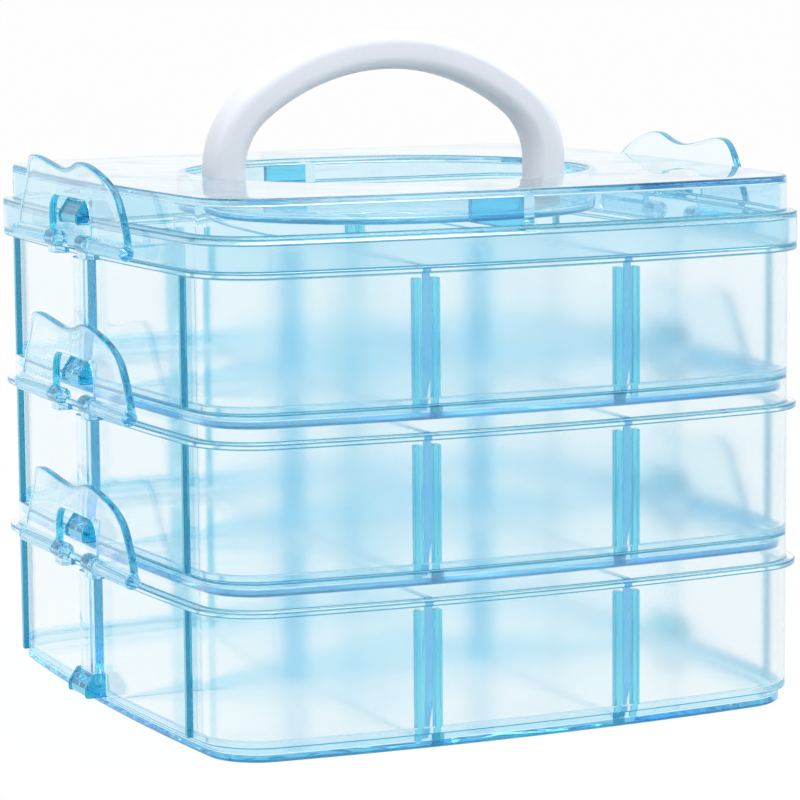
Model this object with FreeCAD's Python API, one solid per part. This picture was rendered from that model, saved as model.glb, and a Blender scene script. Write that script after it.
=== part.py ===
import FreeCAD, Part
import math
import os

# Stacking organizer box: three clear trays with loose dividers, a lid, a folding handle and six latches.
# Frame: X along the front, Y from front to back, Z up, origin at the centre of the base. Millimetres.

# Driving sizes of the whole stack
box_width = 155.0
box_depth = 155.0
front_bow = 5.2
side_bow = 3.9
corner_radius = 14.5
tier_pitch = 37.6
tier_count = 3
wall = 1.3
floor_thickness = 1.5

# Tray: nesting foot below, rim above, a thin flange round the rim
foot_height = 3.5
nest_clearance = 0.2
foot_edge_radius = 0.8
flange_reach = 2.2
flange_thickness = 1.4
flange_below_pitch = 2.8
rim_edge_radius = 0.4

# Fixed middle wall, slot ribs and loose dividers
middle_wall = 1.6
divider_thickness = 2.0
divider_below_pitch = 2.6
divider_spacing = 50.8
divider_end_gap = 0.4
divider_corner_run = 2.6
divider_corner_rise = 9.0
divider_edge_radius = 0.3
slot_clearance = 0.4
rib_width = 1.7
rib_depth = 2.2
rib_below_divider = 2.9

# Stiffening ribs on the outside of the left and right walls, near the corners
side_rib_place = 56.0
side_rib_width = 1.6
side_rib_reach = 1.4

# Latch lug and the post above it, in the middle of each side
lug_width = 11.5
lug_base_above_shoulder = 0.3
lug_height = 5.0
lug_reach = 4.9
lug_slope_drop = 3.2
lug_edge_radius = 0.4
post_width = 10.0
post_reach = 2.4
post_gap_below_flange = 0.4

# Lid: skirt over the rim, ledge, raised top with a sunk pan for the folded handle
skirt_clearance = 0.6
skirt_wall = 1.6
rim_headroom = 0.2
ledge_thickness = 1.2
top_inset = 0.3
top_rise = 8.5
lid_wall = 1.4
deck_thickness = 1.5
lid_edge_radius = 0.9
ledge_edge_radius = 0.5
pan_floor = 1.2
pan_headroom = 0.3
pan_flat = 4.0
pan_side_gap = 0.5
pan_end_gap = 9.4
boss_length = 5.0
boss_width = 11.0
boss_below_bore = 2.0
deck_rib_width = 2.6

# Handle: a three-centred arch of rounded bar with a stub pin at each foot
handle_half_span = 42.9
handle_rise = 32.0
handle_straight = 4.0
handle_shoulder_radius = 20.0
handle_bar_height = 9.2
handle_bar_depth = 10.0
handle_bar_rounding = 3.2
handle_pin_radius = 1.9
handle_pin_length = 4.2
handle_pin_clearance = 0.06

# Latch: bell-shaped plate with an open window, barrels at its foot and stub pins in the tray's knuckles
latch_half_base = 37.4
latch_height = 19.6
latch_thickness = 1.9
latch_gap = 0.6
latch_flare = 3.3
latch_straight = 10.6
latch_window_half = 13.6
latch_window_height = 10.2
latch_window_radius = 4.5
barrel_radius = 1.9
barrel_above_flange = 0.2
barrel_offset = 0.2
hinge_pin_radius = 1.2
hinge_pin_clearance = 0.06
knuckle_radius = 2.1
knuckle_width = 5.4
knuckle_side_gap = 0.5
knuckle_pin_gap = 0.6

# Bell outline of the latch from its foot to the middle of its top: shares of the half base and of the height
latch_outline_shares = [
    (1.0, 0.0), (0.965, 0.20), (0.895, 0.44), (0.785, 0.70),
    (0.625, 0.91), (0.43, 1.0), (0.20, 0.93), (0.0, 0.885),
]

# One overrun serves all cuts, an edge within the tolerance of a place lies there, and half a turn brings
# a side's pieces to the other side
overrun = 20.0
tolerance = 0.02
half_turn = 180

# Places worked out from the sizes above
half_width = box_width / 2
half_depth = box_depth / 2
foot_inset = wall + nest_clearance
shoulder_top = foot_height + wall
rim_height = tier_pitch + foot_height
flange_top = tier_pitch - flange_below_pitch
divider_top = tier_pitch - divider_below_pitch
rib_top = divider_top - rib_below_divider
divider_places = [-divider_spacing / 2, divider_spacing / 2]
slot_half = divider_thickness / 2 + slot_clearance
lug_bottom = foot_height + lug_base_above_shoulder
lid_base = tier_pitch * tier_count
skirt_bottom = lid_base - tier_pitch + flange_top
ledge_bottom = lid_base + foot_height + rim_headroom
ledge_top = ledge_bottom + ledge_thickness
lid_top = ledge_top + top_rise
skirt_outset = skirt_clearance + skirt_wall
latch_inner_x = -(half_width + skirt_outset + latch_gap)
axis_x = latch_inner_x - latch_thickness + barrel_offset
axis_z = flange_top + barrel_above_flange + barrel_radius
barrel_start = latch_window_half + knuckle_side_gap
pan_floor_top = ledge_bottom + pan_floor
handle_axis_z = pan_floor_top + pan_headroom + handle_bar_depth / 2
handle_outer_x = handle_half_span + handle_bar_height / 2
pan_half_length = handle_outer_x + pan_side_gap
pan_half_width = handle_rise + handle_bar_height / 2 + pan_end_gap
pan_corner_radius = min(pan_half_length, pan_half_width) - pan_flat

up = FreeCAD.Vector(0, 0, 1)
along_x = FreeCAD.Vector(1, 0, 0)
along_y = FreeCAD.Vector(0, 1, 0)
origin = FreeCAD.Vector(0, 0, 0)


def block(x0, x1, y0, y1, z0, z1):
    """Box between two corners."""
    return Part.makeBox(x1 - x0, y1 - y0, z1 - z0, FreeCAD.Vector(x0, y0, z0))


def turned(shape):
    """The same shape on the other side of the box."""
    return shape.rotated(origin, up, half_turn)


def bow_radius(half_chord, bow):
    return (half_chord ** 2 + bow ** 2) / (2 * bow)


def bowed_corner(inset):
    """Where the bowed front and side lines cross, in the quarter with positive X and Y."""
    front_radius = bow_radius(half_width, front_bow)
    side_radius = bow_radius(half_depth, side_bow)
    centre_y = half_depth - front_radius
    centre_x = half_width - side_radius
    r_front = front_radius - inset
    r_side = side_radius - inset
    dx = centre_x
    dy = -centre_y
    gap = math.hypot(dx, dy)
    along = (r_front ** 2 - r_side ** 2 + gap ** 2) / (2 * gap)
    across = math.sqrt(r_front ** 2 - along ** 2)
    x = along * dx / gap + across * dy / gap
    y = centre_y + along * dy / gap - across * dx / gap
    return abs(x), abs(y)


def bowed_prism(inset, z0, z1):
    """Upright solid on the box's outline, drawn in by the inset, with bowed sides and rounded corners."""
    x, y = bowed_corner(inset)
    corners = [FreeCAD.Vector(sx * x, sy * y, z0) for sx, sy in ((-1, -1), (1, -1), (1, 1), (-1, 1))]
    crowns = [
        FreeCAD.Vector(0, inset - half_depth, z0),
        FreeCAD.Vector(half_width - inset, 0, z0),
        FreeCAD.Vector(0, half_depth - inset, z0),
        FreeCAD.Vector(inset - half_width, 0, z0),
    ]
    edges = [Part.Arc(corners[i], crowns[i], corners[(i + 1) % 4]).toShape() for i in range(4)]
    prism = Part.Face(Part.Wire(edges)).extrude(up * (z1 - z0))
    upright = [e for e in prism.Edges if abs(e.Vertexes[0].Z - e.Vertexes[-1].Z) > (z1 - z0) / 2]
    return prism.makeFillet(corner_radius - inset, upright)


def edges_at(shape, z):
    """Edges that lie at one height."""
    return [e for e in shape.Edges if max(abs(e.BoundBox.ZMin - z), abs(e.BoundBox.ZMax - z)) < tolerance]


def tray_shell():
    """Open tray: foot, wall and rim with the flange, hollowed out."""
    foot = bowed_prism(foot_inset, 0, shoulder_top)
    foot = foot.makeFillet(foot_edge_radius, edges_at(foot, 0))
    body = bowed_prism(0, foot_height, rim_height)
    flange = bowed_prism(-flange_reach, flange_top - flange_thickness, flange_top)
    flange = flange.makeFillet(rim_edge_radius, edges_at(flange, flange_top))
    outside = body.fuse([foot, flange])
    low_hollow = bowed_prism(foot_inset + wall, floor_thickness, rim_height + overrun)
    high_hollow = bowed_prism(wall, shoulder_top, rim_height + overrun)
    return outside.cut(low_hollow.fuse(high_hollow))


def wall_inner_y(x):
    """Depth of the back wall's inner face at a place along X."""
    radius = bow_radius(half_width, front_bow)
    return half_depth - radius + math.sqrt((radius - wall) ** 2 - x ** 2)


def slot_ribs():
    """Pairs of upright ribs that hold the dividers, on the outer walls and on the middle wall."""
    ribs = []
    for place in divider_places:
        for side in (-1, 1):
            middle = place + side * (slot_half + rib_width / 2)
            x0 = middle - rib_width / 2
            x1 = middle + rib_width / 2
            outer = wall_inner_y(middle)
            inner = middle_wall / 2 + rib_depth
            ribs.append(block(x0, x1, -inner, inner, floor_thickness, rib_top))
            ribs.append(block(x0, x1, outer - rib_depth, outer + wall, floor_thickness, rib_top))
            ribs.append(block(x0, x1, -outer - wall, -outer + rib_depth, floor_thickness, rib_top))
    return ribs


def middle_partition():
    """Fixed wall from side to side that parts the front row from the back row."""
    return block(-half_width, half_width, -middle_wall / 2, middle_wall / 2, floor_thickness, divider_top)


def inner_walls():
    """The middle wall and the ribs, trimmed half way through the wall and the foot that they grow from."""
    low = bowed_prism(foot_inset + wall / 2, 0, rim_height)
    high = bowed_prism(wall / 2, foot_height + wall / 2, rim_height)
    core = low.fuse(high)
    return [piece.common(core) for piece in [middle_partition()] + slot_ribs()]


def lug(base_x, bottom):
    """Catch for the latch's window, with a sloping top that lets the window's bar ride off."""
    outer = -(half_width + lug_reach)
    top = bottom + lug_height
    corners = [
        (base_x, bottom), (outer, bottom), (outer, top - lug_slope_drop), (latch_inner_x, top), (base_x, top),
    ]
    points = [FreeCAD.Vector(x, -lug_width / 2, z) for x, z in corners]
    face = Part.Face(Part.makePolygon(points + points[:1]))
    solid = face.extrude(along_y * lug_width)
    front = [e for e in solid.Edges if e.BoundBox.XMax - outer < tolerance]
    return solid.makeFillet(lug_edge_radius, front)


def latch_post():
    """Raised pad on the side wall between the lug and the flange."""
    top = flange_top - flange_thickness - post_gap_below_flange
    bottom = lug_bottom + lug_height / 2
    half = post_width / 2
    return block(-half_width - post_reach, -half_width + wall / 2, -half, half, bottom, top)


def side_ribs():
    """Upright ribs on the left wall's outer face, from the shoulder to the flange."""
    radius = bow_radius(half_depth, side_bow)
    face = half_width - radius + math.sqrt(radius ** 2 - side_rib_place ** 2)
    top = flange_top - flange_thickness / 2
    ribs = []
    for side in (-1, 1):
        y0 = side * side_rib_place - side_rib_width / 2
        ribs.append(block(-face - side_rib_reach, -face + wall / 2, y0, y0 + side_rib_width, lug_bottom, top))
    return ribs


def knuckles():
    """Two bored ears on the flange that carry the latch's stub pins."""
    ears = []
    outer = barrel_start - knuckle_side_gap - knuckle_pin_gap
    for side in (-1, 1):
        y0 = min(side * outer, side * (outer - knuckle_width))
        start = FreeCAD.Vector(axis_x, y0, axis_z)
        ear = Part.makeCylinder(knuckle_radius, knuckle_width, start, along_y)
        root = block(axis_x - knuckle_radius / 2, axis_x + knuckle_radius, y0, y0 + knuckle_width,
                     flange_top - flange_thickness, axis_z)
        shelf = block(axis_x - knuckle_radius / 2, -half_width + wall / 2, y0, y0 + knuckle_width,
                      flange_top - flange_thickness, flange_top)
        bore = Part.makeCylinder(hinge_pin_radius + hinge_pin_clearance, knuckle_width, start, along_y)
        ears.append(ear.fuse([root, shelf]).cut(bore))
    return ears


def tray():
    """One tray at the bottom of the stack."""
    sides = [lug(-half_width + foot_inset, lug_bottom), latch_post()] + side_ribs() + knuckles()
    extras = inner_walls() + sides + [turned(s) for s in sides]
    return tray_shell().fuse(extras).removeSplitter()


def divider(place, row):
    """Loose divider between the middle wall and the front wall (row -1) or the back wall (row 1)."""
    inner = middle_wall / 2 + divider_end_gap
    outer = wall_inner_y(abs(place) + divider_thickness / 2) - divider_end_gap
    corners = [
        (inner, floor_thickness), (outer - divider_corner_run, floor_thickness),
        (outer, floor_thickness + divider_corner_rise), (outer, divider_top), (inner, divider_top),
    ]
    points = [FreeCAD.Vector(place - divider_thickness / 2, row * y, z) for y, z in corners]
    plate = Part.Face(Part.makePolygon(points + points[:1])).extrude(along_x * divider_thickness)
    return plate.makeFillet(divider_edge_radius, edges_at(plate, divider_top))


def latch_profile():
    """Side view of the latch plate: upright at its foot, then curling outward to the finger edge."""
    straight_top = axis_z + latch_straight
    top = axis_z + latch_height
    middle_z = (straight_top + top) / 2
    wires = []
    for x in (latch_inner_x, latch_inner_x - latch_thickness):
        foot = FreeCAD.Vector(x, 0, axis_z)
        bend = FreeCAD.Vector(x, 0, straight_top)
        middle = FreeCAD.Vector(x - latch_flare / 4, 0, middle_z)
        tip = FreeCAD.Vector(x - latch_flare, 0, top)
        wires.append((foot, bend, middle, tip))
    inner, outer = wires
    edges = [
        Part.makeLine(inner[0], inner[1]), Part.Arc(inner[1], inner[2], inner[3]).toShape(),
        Part.makeLine(inner[3], outer[3]), Part.Arc(outer[3], outer[2], outer[1]).toShape(),
        Part.makeLine(outer[1], outer[0]), Part.makeLine(outer[0], inner[0]),
    ]
    face = Part.Face(Part.Wire(edges))
    face.translate(along_y * -latch_half_base)
    return face.extrude(along_y * (latch_half_base * 2))


def latch_bell():
    """Front view of the latch: a bell with two humps along its top, cut through by the window."""
    half = [(y * latch_half_base, axis_z + z * latch_height) for y, z in latch_outline_shares]
    mirrored = [(-y, z) for y, z in reversed(half[:-1])]
    start = latch_inner_x - overrun
    points = [FreeCAD.Vector(start, y, z) for y, z in half + mirrored]
    curve = Part.BSplineCurve()
    curve.interpolate(points)
    face = Part.Face(Part.Wire([curve.toShape(), Part.makeLine(points[-1], points[0])]))
    bell = face.extrude(along_x * (overrun * 2))
    window_top = axis_z + latch_window_height
    half_window = latch_window_half
    window = block(start, start + overrun * 2, -half_window, half_window, axis_z - overrun, window_top)
    shoulders = [e for e in edges_at(window, window_top) if e.BoundBox.XLength > overrun]
    return bell.cut(window.makeFillet(latch_window_radius, shoulders))


def latch():
    """Left latch of the bottom tray: plate, two barrels and two stub pins."""
    plate = latch_profile().common(latch_bell())
    pieces = []
    barrel_length = latch_half_base - barrel_start
    pin_length = knuckle_width + knuckle_pin_gap
    for side in (-1, 1):
        start = FreeCAD.Vector(axis_x, side * barrel_start, axis_z)
        pieces.append(Part.makeCylinder(barrel_radius, barrel_length, start, along_y * side))
        pieces.append(Part.makeCylinder(hinge_pin_radius, pin_length, start, along_y * -side))
    return plate.fuse(pieces).removeSplitter()


def pan_block(grow, z0, z1):
    """Upright rounded block on the pan's plan, grown by a wall."""
    x = pan_half_length + grow
    y = pan_half_width + grow
    solid = block(-x, x, -y, y, z0, z1)
    upright = [e for e in solid.Edges if e.BoundBox.ZLength > (z1 - z0) / 2]
    return solid.makeFillet(pan_corner_radius + grow, upright)


def lid():
    """Lid with skirt, ledge, raised top, sunk pan, bored bosses for the handle and a lug each side."""
    skirt = bowed_prism(-skirt_outset, skirt_bottom, ledge_top)
    skirt = skirt.makeFillet(ledge_edge_radius, edges_at(skirt, ledge_top))
    raised = bowed_prism(top_inset, ledge_bottom, lid_top)
    raised = raised.makeFillet(lid_edge_radius, edges_at(raised, lid_top))
    skirt_hollow = bowed_prism(-skirt_clearance, skirt_bottom - overrun, ledge_bottom)
    top_hollow = bowed_prism(top_inset + lid_wall, ledge_bottom - overrun, lid_top - deck_thickness)
    shell = skirt.fuse(raised).cut(skirt_hollow.fuse(top_hollow))
    pan = pan_block(lid_wall, ledge_bottom, lid_top - deck_thickness / 2)
    boss_end = pan_half_length + boss_length
    boss_bottom = handle_axis_z - handle_pin_radius - boss_below_bore
    boss_top = lid_top - deck_thickness / 2
    boss = block(-boss_end, -pan_half_length, -boss_width / 2, boss_width / 2, boss_bottom, boss_top)
    side = lug(-half_width + top_inset + lid_wall / 2, lid_base + lug_bottom)
    rib = block(-deck_rib_width / 2, deck_rib_width / 2, pan_half_width + lid_wall / 2,
                half_depth - top_inset - lid_wall / 2, ledge_bottom, boss_top)
    solid = shell.fuse([pan, boss, turned(boss), side, turned(side), rib, turned(rib)])
    solid = solid.cut(pan_block(0, pan_floor_top, lid_top + overrun))
    bore_start = FreeCAD.Vector(-boss_end, 0, handle_axis_z)
    bore_radius = handle_pin_radius + handle_pin_clearance
    return solid.cut(Part.makeCylinder(bore_radius, boss_end * 2, bore_start, along_x)).removeSplitter()


def handle_path():
    """Centre line of the handle: straight feet, round shoulders and a flatter crown, all tangent."""
    spring_z = handle_axis_z + handle_straight
    rise = handle_rise - handle_straight
    run = handle_half_span - handle_shoulder_radius
    shoulder = handle_shoulder_radius
    crown_radius = (run ** 2 + rise ** 2 - shoulder ** 2) / (2 * (rise - shoulder))
    turn = math.atan2(crown_radius - rise, run)
    joint_x = run + handle_shoulder_radius * math.cos(turn)
    joint_z = spring_z + handle_shoulder_radius * math.sin(turn)
    middle_x = run + handle_shoulder_radius * math.cos(turn / 2)
    middle_z = spring_z + handle_shoulder_radius * math.sin(turn / 2)

    def at(x, z):
        return FreeCAD.Vector(x, 0, z)

    top = at(0, spring_z + rise)
    return Part.Wire([
        Part.makeLine(at(-handle_half_span, handle_axis_z), at(-handle_half_span, spring_z)),
        Part.Arc(at(-handle_half_span, spring_z), at(-middle_x, middle_z), at(-joint_x, joint_z)).toShape(),
        Part.Arc(at(-joint_x, joint_z), top, at(joint_x, joint_z)).toShape(),
        Part.Arc(at(joint_x, joint_z), at(middle_x, middle_z), at(handle_half_span, spring_z)).toShape(),
        Part.makeLine(at(handle_half_span, spring_z), at(handle_half_span, handle_axis_z)),
    ])


def handle_bar(z0, z1):
    """Straight stretch of the handle's rounded bar at its left foot."""
    x = handle_bar_height / 2
    y = handle_bar_depth / 2
    bar = block(-handle_half_span - x, -handle_half_span + x, -y, y, z0, z1)
    upright = [e for e in bar.Edges if e.BoundBox.ZLength > (z1 - z0) / 2]
    return bar.makeFillet(handle_bar_rounding, upright)


def handle():
    """Arched handle with round feet and a stub pin pointing outward from each."""
    foot_radius = handle_bar_depth / 2
    straight = handle_bar(handle_axis_z, handle_axis_z + handle_straight)
    section = [f for f in straight.Faces if abs(f.BoundBox.ZMax - handle_axis_z) < tolerance][0]
    arch = handle_path().makePipeShell([section.OuterWire], True, False)
    foot_end = FreeCAD.Vector(-handle_outer_x, 0, handle_axis_z)
    knob = Part.makeCylinder(foot_radius, handle_bar_height, foot_end, along_x)
    foot = handle_bar(handle_axis_z - foot_radius, handle_axis_z).common(knob)
    pin = Part.makeCylinder(handle_pin_radius, handle_pin_length + foot_radius,
                            FreeCAD.Vector(-handle_outer_x - handle_pin_length, 0, handle_axis_z), along_x)
    side = [foot, pin]
    return arch.fuse(side + [turned(s) for s in side]).removeSplitter()


def save(name, shape):
    """Write one piece, and print its solids and volume."""
    solids = shape.Solids
    piece = solids[0] if len(solids) == 1 else shape
    print(name, "solids", len(solids), "volume", round(piece.Volume, 1), "valid", piece.isValid())
    piece.exportStep(os.path.join("parts", name + ".step"))


def raised(shape, height):
    return shape.translated(up * height)


def main():
    os.makedirs("parts", exist_ok=True)
    tier_names = ["bottom", "middle", "top"]
    one_tray = tray()
    left_latch = latch()
    dividers = [
        ("front_left", divider(divider_places[0], -1)), ("front_right", divider(divider_places[1], -1)),
        ("back_left", divider(divider_places[0], 1)), ("back_right", divider(divider_places[1], 1)),
    ]
    for tier in range(tier_count):
        height = tier * tier_pitch
        name = tier_names[tier]
        save(name + "_tray", raised(one_tray, height))
        save(name + "_latch_left", raised(left_latch, height))
        save(name + "_latch_right", raised(turned(left_latch), height))
        for place, plate in dividers:
            save(name + "_divider_" + place, raised(plate, height))
    save("lid", lid())
    save("handle", handle())


main()
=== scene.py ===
# %% [markdown]
# # A stacking organizer box in clear blue plastic
#
# The object is a square craft box: three trays that nest on each other, loose dividers, a lid with
# a white folding handle, and a pair of bell-shaped latches on every tier. All of it but the handle
# is see-through, so what we model is not only the outside but every wall that light passes.
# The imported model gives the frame: its bodies, its sizes and its box. Our own pieces stand in for
# its nodes one by one and ride on the same bodies.

# %% Load the frame
import math
import bpy
import bmesh
import numpy as np
from mathutils import Matrix


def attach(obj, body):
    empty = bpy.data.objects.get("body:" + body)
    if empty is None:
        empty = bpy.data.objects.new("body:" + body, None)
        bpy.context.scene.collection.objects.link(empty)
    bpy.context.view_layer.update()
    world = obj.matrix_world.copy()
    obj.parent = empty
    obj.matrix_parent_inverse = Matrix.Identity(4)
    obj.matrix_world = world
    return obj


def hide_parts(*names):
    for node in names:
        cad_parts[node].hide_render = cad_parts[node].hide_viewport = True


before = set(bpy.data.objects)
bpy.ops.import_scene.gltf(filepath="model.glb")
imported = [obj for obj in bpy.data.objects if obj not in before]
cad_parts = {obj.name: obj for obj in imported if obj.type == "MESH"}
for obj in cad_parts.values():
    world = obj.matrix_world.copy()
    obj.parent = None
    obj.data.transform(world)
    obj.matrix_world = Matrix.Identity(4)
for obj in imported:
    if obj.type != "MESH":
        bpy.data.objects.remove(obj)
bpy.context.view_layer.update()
scene = bpy.context.scene
MM = 0.001

# %% [markdown]
# ## The camera
#
# The photograph was taken from the front left, a little above the box, with a long lens. The angles
# below came from fitting the known edges of the box to the picture. A small roll and a small shift
# keep the object where the picture has it. A camera is just three directions and a place, so we
# work them out with plain vectors.

# %% Place the camera
CAMERA_AZIMUTH, CAMERA_ELEVATION, CAMERA_ROLL = -24.7499, 7.93558, -0.49563
CAMERA_DISTANCE, AIM_HEIGHT = 877.843 * MM, 65 * MM
SENSOR, FOCAL_SHARE, SHIFT_X, SHIFT_Y = 36, 4.4557, 0.01375, 0.02087
NEAREST, FARTHEST = 0.05, 20


def camera_axes(azimuth, elevation, roll):
    """Right, up and back of a camera: back points from the aim to the lens, right is level, up is
    back cross right, and the roll turns right and up about back."""
    a, e, r = np.radians([azimuth, elevation, roll])
    back = np.array([np.sin(a) * np.cos(e), -np.cos(a) * np.cos(e), np.sin(e)])
    right = np.array([np.cos(a), np.sin(a), 0])
    up = np.cross(back, right)
    return np.cos(r) * right + np.sin(r) * up, np.cos(r) * up - np.sin(r) * right, back


def stand(obj, axes, at):
    """Puts a camera or lamp into the scene: its own x, y and z become the matrix's columns, and the
    place is its last column."""
    turn = np.eye(4)
    turn[:3, :3] = np.stack(axes, 1)
    turn[:3, 3] = at
    obj.matrix_world = Matrix(turn.tolist())
    scene.collection.objects.link(obj)


right, up, back = camera_axes(CAMERA_AZIMUTH, CAMERA_ELEVATION, CAMERA_ROLL)
lens = bpy.data.cameras.new("camera")
lens.sensor_width = SENSOR
lens.lens = FOCAL_SHARE * SENSOR
lens.shift_x, lens.shift_y = SHIFT_X, SHIFT_Y
lens.clip_start, lens.clip_end = NEAREST, FARTHEST
camera = bpy.data.objects.new("camera", lens)
camera_place = back * CAMERA_DISTANCE + [0, 0, AIM_HEIGHT]
stand(camera, (right, up, back), camera_place)
scene.camera = camera
print("lens", round(lens.lens, 1), "mm, from", camera_place.round(3))

# %% [markdown]
# ## Outlines
#
# Moulded boxes have few straight lines. The sides of this one are bowed a few millimetres, and the
# corners are round, so the plan is eight arcs that meet on a tangent. We keep each point's outward
# direction beside it, because then every wall, flange and skirt is the same outline pushed in or
# out: point plus direction times offset. Smaller parts start from a polygon whose corners are
# rounded in the same way.

# %% Outlines with their outward directions
BOX_WIDTH, BOX_DEPTH, FRONT_BOW, SIDE_BOW, CORNER_RADIUS = 155.0, 155.0, 5.2, 3.9, 14.5


def arc(centre, radius, start, stop, steps):
    """Points on a circle, centre + radius * (cos a, sin a), for even angles a with the last left
    out, and the outward directions (cos a, sin a)."""
    a = np.linspace(start, stop, steps, endpoint=False)
    away = np.stack([np.cos(a), np.sin(a)], 1)
    return np.asarray(centre) + radius * away, away


def bow_radius(chord, bow):
    """Radius of a bowed side: (half chord squared + bow squared) / (2 bow)."""
    return ((chord / 2) ** 2 + bow ** 2) / (2 * bow)


FRONT_RADIUS, SIDE_RADIUS = bow_radius(BOX_WIDTH, FRONT_BOW), bow_radius(BOX_DEPTH, SIDE_BOW)


def box_outline(side_steps=40, corner_steps=20):
    """Plan of the box, anticlockwise. A corner's centre lies where two circles cross, each a corner
    radius inside its bow."""
    front, side = FRONT_RADIUS, SIDE_RADIUS
    cy, cx = BOX_DEPTH / 2 - front, BOX_WIDTH / 2 - side
    gap = math.hypot(cx, cy)
    r1, r2 = side - CORNER_RADIUS, front - CORNER_RADIUS
    along = (r1 * r1 - r2 * r2 + gap * gap) / (2 * gap)
    across = math.sqrt(r1 * r1 - along * along)
    x = abs(cx - along * cx / gap - across * cy / gap)
    y = abs(along * cy / gap - across * cx / gap)
    tilt_front, tilt_side = math.atan2(x, y - cy), math.atan2(y, x - cx)
    q = math.pi / 2
    pieces = []
    for k, (bow_centre, radius, tilt, next_tilt, corner) in enumerate([
            ((cx, 0), side, tilt_side, tilt_front, (x, y)),
            ((0, cy), front, tilt_front, tilt_side, (-x, y)),
            ((-cx, 0), side, tilt_side, tilt_front, (-x, -y)),
            ((0, -cy), front, tilt_front, tilt_side, (x, -y))]):
        pieces.append(arc(bow_centre, radius, k * q - tilt, k * q + tilt, side_steps))
        pieces.append(arc(corner, CORNER_RADIUS, k * q + tilt, (k + 1) * q - next_tilt, corner_steps))
    points, away = zip(*pieces)
    return np.concatenate(points), np.concatenate(away)


def rounded_outline(corners, radius, steps=4):
    """Polygon, anticlockwise, with each corner swapped for an arc: the arc's centre lies on the
    corner's bisector, and its directions turn from the first edge's normal to the second's."""
    c = np.asarray(corners, float)
    radius = np.broadcast_to(radius, len(c))[:, None, None]
    edge = np.roll(c, -1, 0) - c
    edge /= np.linalg.norm(edge, axis=1, keepdims=True)
    n2 = np.stack([edge[:, 1], -edge[:, 0]], 1)
    n1 = np.roll(n2, 1, 0)
    cross, dot = n1[:, 0] * n2[:, 1] - n1[:, 1] * n2[:, 0], (n1 * n2).sum(1)
    bend = np.arctan2(cross, dot)
    angle = np.arctan2(n1[:, 1], n1[:, 0])[:, None] + bend[:, None] * np.linspace(0, 1, steps)
    away = np.stack([np.cos(angle), np.sin(angle)], -1)
    side = np.sign(cross)[:, None, None] * radius
    points = c[:, None] - side * ((n1 + n2) / (1 + dot)[:, None])[:, None] + side * away
    return points.reshape(-1, 2), away.reshape(-1, 2)


def rectangle(x0, x1, y0, y1, radius, steps=4):
    """Rounded oblong: the four corners, anticlockwise from the lowest."""
    return rounded_outline([(x0, y0), (x1, y0), (x1, y1), (x0, y1)], radius, steps)


def circle(centre, radius, steps=40):
    """One arc of a whole turn."""
    return arc(centre, radius, 0, 2 * math.pi, steps)


box = box_outline()
plan = box[0]
print("plan", len(plan), "points,", np.ptp(plan, 0).round(1), "mm across")

# %% [markdown]
# ## From rings to solids
#
# A solid here is a stack of closed rings with a skin over them and a fan at each end. A bar is one
# outline carried along a straight line, with its ends eased over by a quarter circle, as a mould's
# edges are. The fan runs to the ring's mean point, so an outline with a deep inner corner is better
# made as two bars. Clear plastic shows every inner face, so parts that are one moulding on the real
# box must also be one closed skin here: we fuse them with Boolean modifiers and keep the result.

# %% Skins and bars
def skin(rings):
    """Rings joined point by point: corner (i, j) to (i, j+1), (i+1, j+1) and (i+1, j). The first and
    last ring get a fan to their mean point."""
    m, n = rings.shape[:2]
    grid = np.arange(m * n).reshape(m, n)
    after = np.roll(grid, -1, 1)
    quads = np.stack([grid[:-1], after[:-1], after[1:], grid[1:]], -1).reshape(-1, 4)
    low = np.stack([np.full(n, m * n), after[0], grid[0]], -1)
    high = np.stack([np.full(n, m * n + 1), grid[-1], after[-1]], -1)
    points = np.concatenate([rings.reshape(-1, 3), rings[[0, -1]].mean(1)])
    return points, quads.tolist() + low.tolist() + high.tolist()


def bar(outline, low, high, edge=0.25, axes="xyz", steps=4):
    """Outline carried from low to high. Each end is eased: at angle a the ring lies edge * (1 - cos a)
    from the end and is drawn in by edge * (1 - sin a). Axes names where plan and height go."""
    points, away = outline
    a = np.linspace(0, math.pi / 2, steps)
    drawn = np.concatenate([1 - np.sin(a), (1 - np.sin(a))[::-1]]) * -edge
    height = np.concatenate([low + edge * (1 - np.cos(a)), (high - edge * (1 - np.cos(a)))[::-1]])
    flat = points[None] + away[None] * drawn[:, None, None]
    tall = np.broadcast_to(height[:, None, None], flat.shape[:2] + (1,))
    return skin(np.concatenate([flat, tall], -1)[..., [axes.index(k) for k in "xyz"]])


print("bar test", len(bar(circle((0, 0), 2), 0, 5)[0]), "points")

# %% Groups of solids and one fused skin
WELD, SLIVER = 1e-7, 2e-6


def together(*solids):
    """Several solids that do not touch, as one list of points and faces."""
    points, faces, start = [], [], 0
    for p, f in solids:
        points.append(p)
        faces += [[i + start for i in face] for face in f]
        start += len(p)
    return np.concatenate(points), faces


def turned(solid):
    """The same solid half a turn round the upright axis: x and y change sign."""
    points, faces = solid
    return points * [-1, -1, 1], faces


def both_sides(*solids):
    """Solids of the left side and, turned, of the right side."""
    return together(*solids, *[turned(s) for s in solids])


def mesh_of(name, solid):
    """Mesh in metres, millimetres * 0.001, with doubles merged and faces turned outwards."""
    points, faces = solid
    mesh = bpy.data.meshes.new(name)
    mesh.from_pydata((points * MM).tolist(), [], faces)
    shape = bmesh.new()
    shape.from_mesh(mesh)
    bmesh.ops.remove_doubles(shape, verts=shape.verts, dist=WELD)
    bmesh.ops.recalc_face_normals(shape, faces=shape.faces)
    shape.to_mesh(mesh)
    shape.free()
    return mesh


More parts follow.
